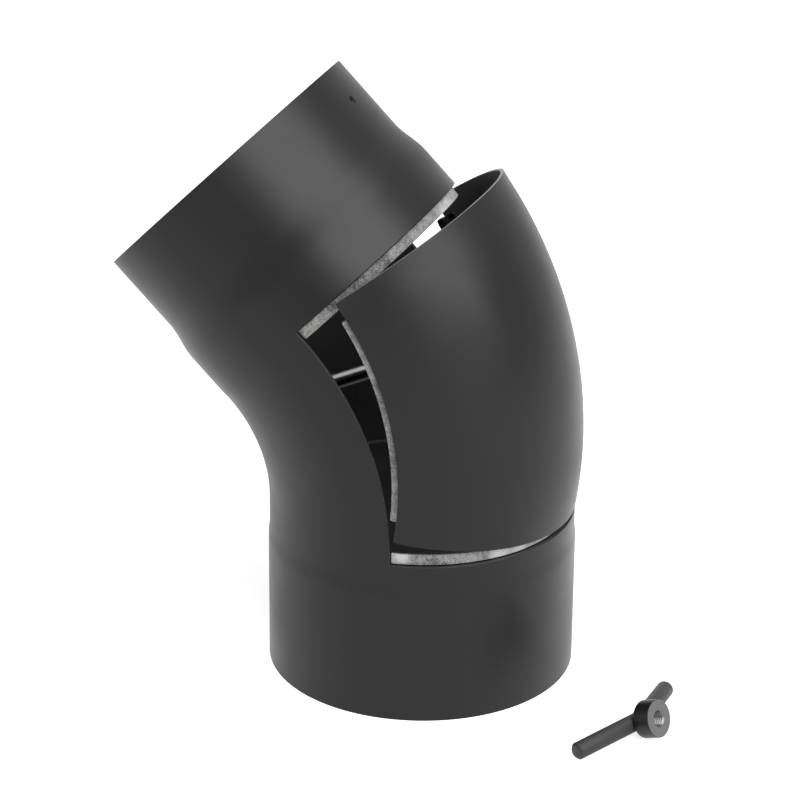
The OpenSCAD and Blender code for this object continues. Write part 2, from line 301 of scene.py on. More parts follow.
def makeSteel(name, tone, roughness, undersideShade):
    look = steelLook
    material, tree, shader = startMaterial(name, roughness, 1.0)
    grain = useGroup(tree, grainGroup, {"Scale": look["grain"], "Cloud Scale": look["cloud"]})
    dark, light = shaded(tone, look["darkShares"]), shaded(tone, look["lightShares"])
    colour = mixColours(tree, grain["Cloud"], dark, light)
    facing = addNode(tree, "ShaderNodeNewGeometry").outputs["Normal"]
    upward = addNode(tree, "ShaderNodeSeparateXYZ", {0: facing}).outputs[2]
    # Painted shade: the colour darkens where the surface faces down
    facingUp = ramp(tree, upward, look["shadeFrom"], look["shadeTo"])
    colour = mixColours(tree, facingUp, shaded(tone * undersideShade), colour)
    rough = ramp(tree, grain["Height"], 0.3, 0.7, roughness - look["smoother"], roughness + look["rougher"])
    tree.links.new(colour, shader.inputs["Base Color"])
    tree.links.new(rough, shader.inputs["Roughness"])
    bump(tree, shader, grain["Height"], look["grainStrength"], look["grainDepth"])
    return material


grainGroup = makeGrainGroup()
fleckGroup = makeFleckGroup()
blackPaint, cutEdge, wornEdgeAndHighlight, innerPaintWithPaintedLight, seamMetal, turnedFace, barPaint = (
    makePaint(name, **coat) for name, coat in coats.items())
darkSteel, threadSteelPaintedShade = (makeSteel(name, **steel) for name, steel in steels.items())
glassTape = makeTape()
print("materials ready")


# Bends a flat pattern, x along the tube, y round it and z outwards, into its place on the tube
def makeBendTree():
    tree, given = startTree("bendSheet", [
        ("Outer Radius", "Float", tube["outerR"]), ("Leg Height", "Float", tube["legHeight"]),
        ("Bend Radius", "Float", tube["bendR"]), ("Bend Angle", "Float", tube["bendAngle"]),
        ("Socket Length", "Float", tube["socketLength"]), ("Socket Step", "Float", tube["socketStep"]),
        ("Collar Start", "Float", bendEnd), ("Collar Step", "Float", tube["collarStep"]),
        ("Step Half", "Float", tube["stepHalf"]),
        ("Swage Start", "Float", swageStart), ("Swage Length", "Float", tube["swageLength"]),
        ("Swage Loss", "Float", tube["outerR"] + tube["collarStep"] - tube["neckR"]),
        ("Weave Height", "Float", 0.0), ("Weave Pitch", "Float", tapeLook["pitch"]),
        ("Weave Noise", "Float", tapeLook["weaveNoise"]), ("Weave Uneven", "Float", tapeLook["weaveUneven"]),
    ])
    place = addNode(tree, "GeometryNodeInputPosition").outputs[0]
    marked = addNode(tree, "GeometryNodeStoreNamedAttribute",
                     {"Geometry": given["Geometry"], "Name": "sheetPlace"}, data_type="FLOAT_VECTOR")
    tree.links.new(place, marked.inputs["Value"])
    along, around, lift = addNode(tree, "ShaderNodeSeparateXYZ", {0: place}).outputs
    legHeight, bendR, outerR = given["Leg Height"], given["Bend Radius"], given["Outer Radius"]
    past = calc(tree, "SUBTRACT", along, legHeight)
    bentBy = calc(tree, "MAXIMUM", calc(tree, "DIVIDE", past, bendR), 0.0)
    bentBy = calc(tree, "MINIMUM", bentBy, given["Bend Angle"])
    straight = calc(tree, "SUBTRACT", past, calc(tree, "MULTIPLY", bendR, bentBy))

    def stepAt(middle, size, before, after):
        low = calc(tree, "SUBTRACT", middle, given["Step Half"])
        high = calc(tree, "ADD", middle, given["Step Half"])
        return calc(tree, "MULTIPLY", size, ramp(tree, along, low, high, before, after))

    atSocket = stepAt(given["Socket Length"], given["Socket Step"], 1.0, 0.0)
    atCollar = stepAt(given["Collar Start"], given["Collar Step"], 0.0, 1.0)
    swageEnd = calc(tree, "ADD", given["Swage Start"], given["Swage Length"])
    atNeck = calc(tree, "MULTIPLY", given["Swage Loss"], ramp(tree, along, given["Swage Start"], swageEnd))

    # Over and under of a plain weave, with some unevenness
    turns = calc(tree, "DIVIDE", math.pi, given["Weave Pitch"])
    weave = calc(tree, "MULTIPLY", calc(tree, "SINE", calc(tree, "MULTIPLY", along, turns)),
                 calc(tree, "SINE", calc(tree, "MULTIPLY", around, turns)))
    inputs = {"Vector": place, "Scale": given["Weave Noise"], "Detail": 3.0}
    noise = addNode(tree, "ShaderNodeTexNoise", inputs).outputs[0]
    uneven = calc(tree, "MULTIPLY", calc(tree, "SUBTRACT", noise, 0.5), given["Weave Uneven"])
    cloth = calc(tree, "MULTIPLY", given["Weave Height"], calc(tree, "ADD", weave, uneven))

    radius = calc(tree, "ADD", calc(tree, "ADD", outerR, lift), calc(tree, "ADD", atSocket, atCollar))
    radius = calc(tree, "ADD", calc(tree, "SUBTRACT", radius, atNeck), cloth)
    angle = calc(tree, "DIVIDE", around, outerR)
    out = calc(tree, "ADD", bendR, calc(tree, "MULTIPLY", radius, calc(tree, "COSINE", angle)))
    sine, cosine = calc(tree, "SINE", bentBy), calc(tree, "COSINE", bentBy)
    x = calc(tree, "SUBTRACT", calc(tree, "MULTIPLY", out, cosine), calc(tree, "MULTIPLY", straight, sine))
    x = calc(tree, "SUBTRACT", x, bendR)
    y = calc(tree, "MULTIPLY", radius, calc(tree, "SINE", angle))
    z = calc(tree, "ADD", calc(tree, "MULTIPLY", out, sine), calc(tree, "MULTIPLY", straight, cosine))
    z = calc(tree, "ADD", legHeight, z)
    target = addNode(tree, "ShaderNodeCombineXYZ", {0: x, 1: y, 2: z}).outputs[0]
    inputs = {"Geometry": marked.outputs[0], "Position": target}
    bent = addNode(tree, "GeometryNodeSetPosition", inputs).outputs[0]
    inputs = {"Geometry": bent, "Distance": weldDistance}
    closed = addNode(tree, "GeometryNodeMergeByDistance", inputs).outputs[0]
    outward = addNode(tree, "GeometryNodeFlipFaces", {"Mesh": closed}).outputs[0]
    smooth = addNode(tree, "GeometryNodeSetShadeSmooth", {"Geometry": outward}).outputs[0]
    return closeTree(tree, smooth, given["Material"])


bendTree = makeBendTree()


# Mesh helpers

def linkObject(name, data):
    obj = bpy.data.objects.new(name, data)
    scene.collection.objects.link(obj)
    return obj


def makeObject(name, verts, faces=(), edges=(), materials=()):
    mesh = bpy.data.meshes.new(name)
    mesh.from_pydata([tuple(v) for v in verts], [tuple(e) for e in edges], [tuple(f) for f in faces])
    for material in materials:
        mesh.materials.append(material)
    return linkObject(name, mesh)


def addBevel(obj, width, angle):
    soft = obj.modifiers.new("edges", "BEVEL")
    soft.width = width
    soft.segments = 2
    soft.limit_method = "ANGLE"
    soft.angle_limit = math.radians(angle)
    soft.harden_normals = True


# Turns the object with its modifiers into a plain mesh, moved to its place
def settle(obj, place=None):
    name = obj.name
    obj.name = name + ".draft"
    bpy.context.view_layer.update()
    graph = bpy.context.evaluated_depsgraph_get()
    evaluated = obj.evaluated_get(graph)
    mesh = bpy.data.meshes.new_from_object(evaluated, preserve_all_data_layers=True, depsgraph=graph)
    bpy.data.objects.remove(obj)
    if place is not None:
        mesh.transform(place)
    mesh.name = name
    return linkObject(name, mesh)


def finish(obj, body, slot, *nodes):
    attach(obj, body)
    if nodes:
        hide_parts(*nodes)
    print("made", obj.name, len(obj.data.polygons), "faces")
    return obj


# Lines about one step apart, with one on each stop
def lines(stops, step):
    out = [stops[0]]
    for low, high in zip(stops, stops[1:]):
        count = max(1, round((high - low) / step))
        out += [low + (high - low) * (i + 1) / count for i in range(count)]
    return np.array(out)


# Fills a block of cells round a hole with loops that go over from the block's rim to the hole's edge
def letInHole(verts, faces, ring, hole):
    loops, crowding = 4, 1.5
    sizes = (hole["rx"], hole["ry"])
    outer = np.array([verts[k][:2] for k in ring])
    way = outer - (hole["x"], hole["y"])
    way = way / sizes
    circle = way / np.linalg.norm(way, axis=1)[:, None] * sizes + (hole["x"], hole["y"])
    n = len(ring)
    for k in range(1, loops + 1):
        share = 1 - (1 - k / loops) ** crowding
        fresh = list(range(len(verts), len(verts) + n))
        verts += [(q[0], q[1], 0.0) for q in outer + (circle - outer) * share]
        faces += [(ring[a], ring[(a + 1) % n], fresh[(a + 1) % n], fresh[a]) for a in range(n)]
        ring = fresh


# A flat sheet on a grid of lines, less the open cells, with round holes let into blocks of cells
def flatSheet(xs, ys, isOpen=None, holes=()):
    verts, faces, index = [], [], {}

    def vertex(i, j):
        if (i, j) not in index:
            index[i, j] = len(verts)
            verts.append((xs[i], ys[j], 0.0))
        return index[i, j]

    def nearest(stops, middle, half):
        return (int(np.argmin(abs(stops - (middle + sign * half)))) for sign in (-1, 1))

    blocks = [(*nearest(xs, hole["x"], hole["blockX"]), *nearest(ys, hole["y"], hole["blockY"]))
              for hole in holes]
    for i in range(len(xs) - 1):
        for j in range(len(ys) - 1):
            inBlock = any(i0 <= i < i1 and j0 <= j < j1 for i0, i1, j0, j1 in blocks)
            cut = isOpen and isOpen((xs[i] + xs[i + 1]) / 2, (ys[j] + ys[j + 1]) / 2)
            if not inBlock and not cut:
                faces.append((vertex(i, j), vertex(i + 1, j), vertex(i + 1, j + 1), vertex(i, j + 1)))
    for hole, (i0, i1, j0, j1) in zip(holes, blocks):
        rim = [(i, j0) for i in range(i0, i1)] + [(i1, j) for j in range(j0, j1)]
        rim += [(i, j1) for i in range(i1, i0, -1)] + [(i0, j) for j in range(j1, j0, -1)]
        letInHole(verts, faces, [vertex(i, j) for i, j in rim], hole)
    return np.array(verts), faces


# Rounds the corners of a flat rectangle of points
def roundCorners(verts, radius):
    low, high = verts[:, :2].min(0), verts[:, :2].max(0)
    for sx in (-1, 1):
        for sy in (-1, 1):
            sign = np.array([sx, sy])
            centre = np.where(sign > 0, high - radius, low + radius)
            way = verts[:, :2] - centre
            inside = (way * sign > 0).all(1)
            size = np.abs(way[inside])
            shrunk = way[inside] * (size.max(1) / np.hypot(*size.T))[:, None]
            verts[inside, :2] = centre + shrunk
    return verts


# Bends a flat sheet into place, with its outer, inner and edge materials. Straight strips aren't bent.
def onTube(name, sheet, materials, thickness, bevel=0.0, weave=0.0, place=None, bent=True):
    verts, faces = sheet
    obj = makeObject(name, verts, faces, (), materials)
    addTree(obj, bendTree, {"Material": materials[0], "Weave Height": weave,
                            "Bend Angle": tube["bendAngle"] if bent else 0.0})
    solid = obj.modifiers.new("thickness", "SOLIDIFY")
    solid.thickness = thickness
    solid.offset = -1
    solid.use_even_offset = True
    solid.material_offset = 1
    solid.material_offset_rim = 2
    if bevel:
        addBevel(obj, bevel, 50)
    return settle(obj, place)


# The tube, cut from one flat sheet with its window, the rod's hole and the screw hole
elbowLook = {
    "step": 0.003, "swageStep": 0.0016, "fineStep": 0.0007, "rodHoleStepX": 0.002, "rodHoleStepY": 0.0012,
    "bevel": 0.0003, "rodHoleR": 0.0045, "rodHoleBlockX": 0.015, "rodHoleBlockY": 0.0075,
    "screwHoleR": 0.0021, "screwHoleInset": 0.0185, "screwHoleBlock": 0.0042,
}


def makeElbow():
    look, outerR, bendR = elbowLook, tube["outerR"], tube["bendR"]
    holeTurn = clamp["angle"] + math.asin(clamp["offset"] / (bendR - middleR))
    rodHole = {"x": tube["legHeight"] + bendR * holeTurn, "y": math.pi * outerR,
               "rx": look["rodHoleR"] * bendR / (bendR - middleR), "ry": look["rodHoleR"] * outerR / middleR,
               "blockX": look["rodHoleBlockX"], "blockY": look["rodHoleBlockY"]}
    neckMiddle = tube["neckR"] - tube["wall"] / 2
    screwHole = {"x": tubeEnd - look["screwHoleInset"], "y": 0.0,
                 "rx": look["screwHoleR"], "ry": look["screwHoleR"] * outerR / neckMiddle,
                 "blockX": look["screwHoleBlock"], "blockY": look["screwHoleBlock"]}

    def edges(hole, axis):
        middle, half = hole[axis.lower()], hole["block" + axis]
        return middle - half, middle + half

    (rodLow, rodHigh), (screwLow, screwHigh) = edges(rodHole, "X"), edges(screwHole, "X")
    xs = [lines([0, windowLow, rodLow], look["step"]), lines([rodLow, rodHigh], look["rodHoleStepX"]),
          lines([rodHigh, windowHigh, swageStart], look["step"]),
          lines([swageStart, neckStart], look["swageStep"]), lines([neckStart, screwLow], look["step"]),
          lines([screwLow, screwHigh], look["fineStep"]), lines([screwHigh, tubeEnd], look["step"])]
    (rodLow, rodHigh), (screwLow, screwHigh) = edges(rodHole, "Y"), edges(screwHole, "Y")
    ys = [lines([-windowHalf, screwLow], look["step"]), lines([screwLow, screwHigh], look["fineStep"]),
          lines([screwHigh, windowHalf, rodLow], look["step"]),
          lines([rodLow, rodHigh], look["rodHoleStepY"]),
          lines([rodHigh, wholeTurn - windowHalf], look["step"])]
    xs, ys = (np.unique(np.concatenate(parts).round(7)) for parts in (xs, ys))
    sheet = flatSheet(xs, ys, lambda x, y: windowLow < x < windowHigh and abs(y) < windowHalf,
                      [rodHole, screwHole])
    obj = onTube("elbowTube", sheet, [blackPaint, innerPaintWithPaintedLight, cutEdge], tube["wall"], look["bevel"])
    return finish(obj, "elbow", "black_paint", "elbow_body")


# The door is the piece that the window left, a saw cut smaller all round
doorLook = {"stepAlong": 0.0025, "stepRound": 0.0028, "corner": 0.0008, "bevel": 0.0003}


def makeDoor():
    xs = lines([windowLow + window["gap"], windowHigh - window["gap"]], doorLook["stepAlong"])
    ys = lines([-doorHalf, doorHalf], doorLook["stepRound"])
    verts, faces = flatSheet(xs, ys)
    verts = roundCorners(verts, doorLook["corner"])
    # The door's cut edges carry worn flecks and a painted highlight.
    obj = onTube("doorSheet", (verts, faces), [blackPaint, innerPaintWithPaintedLight, wornEdgeAndHighlight], tube["wall"],
                 doorLook["bevel"], place=hung)
    return finish(obj, "door", "black_paint", "door_panel")


makeElbow()
makeDoor()
print("tube and door done")

# Stepped strips: the seat lies under the sheet, and the shelf carries the tape
strip = {
    "thickness": 0.0015, "seat": 0.007, "reach": 0.0054, "inset": 0.0004, "overhang": 0.0036,
    "endInset": 0.013, "step": 0.0022, "play": 0.0005, "corner": 0.0006, "sideCorner": 0.0012,
    "bevel": 0.0002, "fineStep": 0.0004, "ledgeStep": 0.003, "sideStep": 0.0025,
}
tape = {"thickness": 0.0016, "sideCorner": 0.0009, "step": 0.0004, "ledgeStep": 0.00033, "sideStep": 0.0003}
tapeLift = -(tube["wall"] + strip["play"])
shelfLift = tapeLift - tape["thickness"]
ledgeHalf = (math.acos(window["side"] / innerR) - strip["inset"] / innerR) * tube["outerR"]

# The ledges stay straight where the tube bends, so the top pair is carried to the end of the bend
endPlace = (Matrix.Translation(bendCentre) @ Matrix.Rotation(-tube["bendAngle"], 4, "Y")
            @ Matrix.Translation((tube["bendR"], 0, -bendEnd)))


# Height of a strip's outer face: under the sheet up to the step, and then down to the shelf
def stepDown(share):
    share = np.clip(share, 0, 1)
    return -tube["wall"] + (shelfLift + tube["wall"]) * (share * share * (3 - 2 * share))


def makeLedge(name, edge, side, node):
    low, high = sorted((edge - side * strip["seat"], edge + side * strip["reach"]))
    xs, ys = lines([low, high], strip["fineStep"]), lines([-ledgeHalf, ledgeHalf], strip["ledgeStep"])
    verts, faces = flatSheet(xs, ys)
    verts = roundCorners(verts, strip["corner"])
    beyond = (verts[:, 0] - edge) * side
    verts[:, 2] = stepDown((beyond + strip["step"] / 2 + window["gap"]) / strip["step"])
    obj = onTube(name, (verts, faces), [blackPaint, blackPaint, cutEdge], strip["thickness"],
                 strip["bevel"], place=endPlace if side < 0 else None, bent=False)
    return finish(obj, "elbow", "black_paint", node)


def makeLedgeTape(name, edge, side, node):
    near, far = edge + side * (strip["step"] / 2 - window["gap"]), edge + side * strip["reach"]
    xs, ys = lines(sorted((near, far)), tape["ledgeStep"]), lines([-ledgeHalf, ledgeHalf], tape["step"])
    verts, faces = flatSheet(xs, ys)
    verts = roundCorners(verts, strip["corner"])
    verts[:, 2] = tapeLift
    obj = onTube(name, (verts, faces), [glassTape] * 3, tape["thickness"], weave=tapeLook["weave"],
                 place=endPlace if side < 0 else None, bent=False)
    return finish(obj, "elbow", "glass_tape", node)


makeLedge("ledgeBottom", windowLow, 1, "ledge_bottom")
makeLedge("ledgeTop", windowHigh, -1, "ledge_top")
makeLedgeTape("tapeBottom", windowLow, 1, "gasket_bottom")
makeLedgeTape("tapeTop", windowHigh, -1, "gasket_top")

doorAngle = math.acos((window["side"] + window["gap"]) / innerR)
doorEdge = doorAngle * tube["outerR"]
outerPerInner = tube["outerR"] / innerR  # lengths on the inner face, as arcs on the outside
outerBend = (tube["bendR"] + innerR) / tube["bendR"]
sideLow = tube["legHeight"] + (strip["endInset"] - window["below"] + window["gap"]) / outerBend
sideHigh = bendEnd - (strip["endInset"] - window["above"] + window["gap"]) / outerBend


# A sheet drawn for the back of the door, mirrored for the front
def onSide(verts, faces, side):
    verts[:, 1] *= side
    return verts, faces if side > 0 else [f[::-1] for f in faces]


def makeSideStrip(name, side, node):
    low = doorEdge - strip["seat"] * outerPerInner
    high = doorEdge + strip["overhang"] * outerPerInner
    xs, ys = lines([sideLow, sideHigh], strip["sideStep"]), lines([low, high], strip["fineStep"])
    verts, faces = flatSheet(xs, ys)
    verts = roundCorners(verts, strip["sideCorner"])
    step = strip["step"] * outerPerInner
    verts[:, 2] = stepDown((verts[:, 1] - doorEdge + step) / step)
    obj = onTube(name, onSide(verts, faces, side), [blackPaint, blackPaint, cutEdge], strip["thickness"],
                 strip["bevel"], place=hung)
    return finish(obj, "door", "black_paint", node)


def makeSideTape(name, side, node):
    far = doorEdge + strip["overhang"] * outerPerInner
    xs, ys = lines([sideLow, sideHigh], tape["step"]), lines([doorEdge, far], tape["sideStep"])
    verts, faces = flatSheet(xs, ys)
    verts = roundCorners(verts, tape["sideCorner"])
    verts[:, 2] = tapeLift
    obj = onTube(name, onSide(verts, faces, side), [glassTape] * 3, tape["thickness"],
                 weave=tapeLook["weave"], place=hung)
    return finish(obj, "door", "glass_tape", node)


makeSideStrip("sideStripFront", -1, "side_strip_front")
makeSideStrip("sideStripBack", 1, "side_strip_back")
makeSideTape("sideTapeFront", -1, "gasket_front")
makeSideTape("sideTapeBack", 1, "gasket_back")
print("strips and tapes done")

# Loose fibres along the tapes' free edges, short enough to stay clear of the steel that closes on them.
# A hair leans and rises by shares of its length, and each is turned and shortened at random.
fray = {
    "length": 0.0009, "radius": 0.00005, "below": 0.0008, "onLedge": 260, "onDoor": 200, "endLength": 0.0034,
    "middleShares": (0.2, 0.55), "endShares": (0.7, 0.8), "turn": (1.4, 1.4, 3.1), "shortestShare": 0.3,
}


def makeFrayTree():
    tree, given = startTree("frayEdge", [
        ("Count", "Int", fray["onDoor"]), ("Length", "Float", fray["length"]),
        ("Radius", "Float", fray["radius"]), ("Seed", "Int", 3)])

    def leaning(shares):
        lean, rise = (calc(tree, "MULTIPLY", given["Length"], share) for share in shares)
        return addNode(tree, "ShaderNodeCombineXYZ", {0: lean, 2: rise}).outputs[0]

    def drawn(least, most):
        inputs = {0: least, 1: most, "Seed": given["Seed"]}
        return addNode(tree, "FunctionNodeRandomValue", inputs, data_type="FLOAT_VECTOR").outputs[0]

    line = addNode(tree, "GeometryNodeMeshToCurve", {"Mesh": given["Geometry"]}).outputs[0]
    inputs = {"Curve": line, "Count": given["Count"]}
    points = addNode(tree, "GeometryNodeResampleCurve", inputs).outputs[0]
    inputs = {"Resolution": 4, "Start": (0, 0, 0), "Middle": leaning(fray["middleShares"]),
              "End": leaning(fray["endShares"])}
    hair = addNode(tree, "GeometryNodeCurveQuadraticBezier", inputs).outputs[0]
    inputs = {"Resolution": 3, "Radius": given["Radius"]}
    ring = addNode(tree, "GeometryNodeCurvePrimitiveCircle", inputs).outputs[0]
    inputs = {"Curve": hair, "Profile Curve": ring, "Fill Caps": True}
    fibre = addNode(tree, "GeometryNodeCurveToMesh", inputs).outputs[0]
    inputs = {"Points": points, "Instance": fibre,
              "Rotation": drawn([-angle for angle in fray["turn"]], fray["turn"]),
              "Scale": drawn((fray["shortestShare"],) * 3, (1.0,) * 3)}
    hairs = addNode(tree, "GeometryNodeInstanceOnPoints", inputs).outputs[0]
    return closeTree(tree, hairs, given["Material"])


frayTree = makeFrayTree()


def chain(points):
    return [(i, i + 1) for i in range(len(points) - 1)]


def makeFray(name, points, body, count, seed, place=None, bent=True):
    obj = makeObject(name, points, (), chain(points), [glassTape])
    addTree(obj, frayTree, {"Count": count, "Length": fray["length"], "Radius": fray["radius"],
                            "Seed": seed, "Material": glassTape})
    addTree(obj, bendTree, {"Material": glassTape, "Bend Angle": tube["bendAngle"] if bent else 0.0})
    return finish(settle(obj, place), body, "glass_tape")


def spaced(low, high, count):
    return [low + (high - low) * i / count for i in range(count + 1)]


fibreLift = tapeLift - fray["below"]
for name, x, seed, place in (("fibresBottom", windowLow + strip["reach"], 3, None),
                             ("fibresTop", windowHigh - strip["reach"], 5, endPlace)):
    points = [(x, y, fibreLift) for y in spaced(-ledgeHalf, ledgeHalf, 20)]
    makeFray(name, points, "elbow", fray["onLedge"], seed, place, False)
sideEdge = (doorAngle + strip["overhang"] / innerR) * tube["outerR"]
for name, side, seed in (("fibresFront", -1, 7), ("fibresBack", 1, 11)):
    points = [(sideLow, side * (sideEdge - fray["endLength"]), fibreLift)]
    points += [(x, side * sideEdge, fibreLift) for x in spaced(sideLow, sideHigh, 20)]
    makeFray(name, points, "door", fray["onDoor"], seed, hung)

# The rippled seam of weld inside, where the bend starts
seam = {"radius": 0.0008, "inset": 0.004, "ripple": 0.22, "pitch": 0.0018, "lumpScale": 260.0, "count": 500}


def makeSeamTree():
    tree, given = startTree("weldSeam", [
        ("Count", "Int", seam["count"]), ("Radius", "Float", seam["radius"]),
        ("Ripple", "Float", seam["ripple"]), ("Pitch", "Float", seam["pitch"]),
        ("Lump Scale", "Float", seam["lumpScale"])])
    line = addNode(tree, "GeometryNodeMeshToCurve", {"Mesh": given["Geometry"]}).outputs[0]
    inputs = {"Curve": line, "Count": given["Count"]}
    points = addNode(tree, "GeometryNodeResampleCurve", inputs).outputs[0]
    place = addNode(tree, "GeometryNodeInputPosition").outputs[0]
    around = addNode(tree, "ShaderNodeSeparateXYZ", {0: place}).outputs[1]
    turns = calc(tree, "DIVIDE", 2 * math.pi, given["Pitch"])
    wave = calc(tree, "SINE", calc(tree, "MULTIPLY", around, turns))
    inputs = {"Vector": place, "Scale": given["Lump Scale"]}
    lumps = addNode(tree, "ShaderNodeTexNoise", inputs).outputs[0]
    swell = calc(tree, "ADD", calc(tree, "MULTIPLY", wave, given["Ripple"]), calc(tree, "ADD", lumps, 0.5))
    thick = addNode(tree, "GeometryNodeSetCurveRadius", {"Curve": points, "Radius": swell}).outputs[0]
    inputs = {"Resolution": 8, "Radius": given["Radius"]}
    ring = addNode(tree, "GeometryNodeCurvePrimitiveCircle", inputs).outputs[0]
    inputs = {"Curve": thick, "Profile Curve": ring, "Fill Caps": True,
              "Scale": addNode(tree, "GeometryNodeInputRadius").outputs[0]}
    bead = addNode(tree, "GeometryNodeCurveToMesh", inputs).outputs[0]
    return closeTree(tree, bead, given["Material"])


def makeSeam():
    start = (math.acos(window["side"] / innerR) + seam["inset"] / innerR) * tube["outerR"]
    points = [(windowLow, y, -tube["wall"]) for y in spaced(start, wholeTurn - start, 60)]
    obj = makeObject("seamBead", points, (), chain(points), [seamMetal])
    addTree(obj, makeSeamTree(), {"Material": seamMetal})
    addTree(obj, bendTree, {"Material": seamMetal})
    return finish(settle(obj), "elbow", "black_paint")


makeSeam()
print("fibres and seam done")


# Turned parts: rings round the X axis, closed at a point or back to the first ring
def turned(name, profile, count, materials, closed=False):
    verts, rings, faces = [], [], []
    turns = [2 * math.pi * k / count for k in range(count)]
    for x, r in profile:
        if r < 1e-7:
            rings.append([len(verts)])
            verts.append((x, 0, 0))
            continue
        rings.append([len(verts) + k for k in range(count)])
        verts += [(x, r * math.cos(turn), r * math.sin(turn)) for turn in turns]
    pairs = list(zip(rings, rings[1:])) + ([(rings[-1], rings[0])] if closed else [])
    for a, b in pairs:
        for k in range(count):
            n = (k + 1) % count
            if len(a) == 1:
                faces.append((a[0], b[n], b[k]))
            elif len(b) == 1:
                faces.append((a[k], a[n], b[0]))
            else:
                faces.append((a[k], a[n], b[n], b[k]))
    obj = makeObject(name, verts, faces, (), materials)
    work = bmesh.new()
    work.from_mesh(obj.data)
    bmesh.ops.recalc_face_normals(work, faces=work.faces)
    for face in work.faces:
        face.smooth = True
    work.to_mesh(obj.data)
    work.free()
    return obj


# Rounds the corners of a profile with small arcs, each less than half as long as the sides beside it
def roundProfile(points, radius, steps=3):
    out = [points[0]]
    for before, here, after in zip(points, points[1:], points[2:]):
        a, b, c = Vector(before), Vector(here), Vector(after)
        reach = min(radius, (a - b).length / 2.2, (c - b).length / 2.2)
        start, end = b + (a - b).normalized() * reach, b + (c - b).normalized() * reach
        for i in range(steps + 1):
            t = i / steps
            out.append(tuple(start * (1 - t) ** 2 + b * 2 * t * (1 - t) + end * t ** 2))
    return out + [points[-1]]


def evenShading(obj):
    weighted = obj.modifiers.new("even", "WEIGHTED_NORMAL")
    weighted.weight = 60
    weighted.keep_sharp = True


def join(target, *others):
    work = bmesh.new()
    work.from_mesh(target.data)
    for other in others:
        work.from_mesh(other.data)
        bpy.data.objects.remove(other)
    work.to_mesh(target.data)
    work.free()
    return target


# The thread of the rod, and the nut's, which is cut outwards
thread = {"pitch": 0.00125, "depth": 0.00061, "nutDepth": 0.0006, "flanks": (0.1, 0.9)}


# Cuts a screw thread into fine rings round the X axis
def makeThreadTree():
    tree, given = startTree("cutThread", [
        ("Pitch", "Float", thread["pitch"]), ("Depth", "Float", thread["depth"]), ("Start", "Float", 0.0),
        ("End", "Float", 0.0), ("Run Out", "Float", 0.0), ("Reach", "Float", 0.0)])
    place = addNode(tree, "GeometryNodeInputPosition").outputs[0]
    x, y, z = addNode(tree, "ShaderNodeSeparateXYZ", {0: place}).outputs
    squares = calc(tree, "ADD", calc(tree, "MULTIPLY", y, y), calc(tree, "MULTIPLY", z, z))
    radius = calc(tree, "SQRT", squares)
    turn = calc(tree, "DIVIDE", calc(tree, "ARCTAN2", z, y), 2 * math.pi)
    share = calc(tree, "SUBTRACT", calc(tree, "DIVIDE", x, given["Pitch"]), turn)
    share = calc(tree, "MULTIPLY", calc(tree, "FRACT", share), 2.0)
    groove = calc(tree, "SUBTRACT", 1.0, calc(tree, "ABSOLUTE", calc(tree, "SUBTRACT", share, 1.0)))
    groove = ramp(tree, groove, *thread["flanks"], kind="LINEAR")
    fadeIn = ramp(tree, x, given["Start"], calc(tree, "ADD", given["Start"], given["Run Out"]))
    fadeOut = ramp(tree, x, calc(tree, "SUBTRACT", given["End"], given["Run Out"]), given["End"], 1.0, 0.0)
    near = calc(tree, "LESS_THAN", radius, given["Reach"])
    cut = calc(tree, "MULTIPLY", calc(tree, "MULTIPLY", groove, given["Depth"]),
               calc(tree, "MULTIPLY", near, calc(tree, "MULTIPLY", fadeIn, fadeOut)))
    factor = calc(tree, "DIVIDE", calc(tree, "SUBTRACT", radius, cut), calc(tree, "MAXIMUM", radius, 1e-6))
    inputs = {0: x, 1: calc(tree, "MULTIPLY", y, factor), 2: calc(tree, "MULTIPLY", z, factor)}
    target = addNode(tree, "ShaderNodeCombineXYZ", inputs).outputs[0]
    inputs = {"Geometry": given["Geometry"], "Position": target}
    cutMesh = addNode(tree, "GeometryNodeSetPosition", inputs).outputs[0]
    return closeTree(tree, cutMesh, given["Material"], near)


threadTree = makeThreadTree()

# The rod: a plain shank with a forged eye, threaded at its free end. The neck is place and radius.
rod = {
    "r": 0.004, "threadLength": 0.044, "eyeR": 0.009, "eyeHalf": 0.0045, "eyeEdge": 0.0014,
    "pinHoleR": 0.00305, "out": 0.023, "tip": 0.001, "tipR": 0.003, "tipEdge": 0.0002, "edge": 0.0001,
    "shankStep": 0.006, "shankEnd": 0.014, "ringsPerTurn": 12, "afterThread": 0.002,
    "threadStart": 0.0004, "runOut": 0.0015, "cutReach": 0.00405,
    "neck": [(-0.0115, 0.0043), (-0.0095, 0.0049), (-0.0075, 0.0055), (-0.005, 0.0056),
             (-0.0045, 0.0035), (-0.0045, 0)],
}


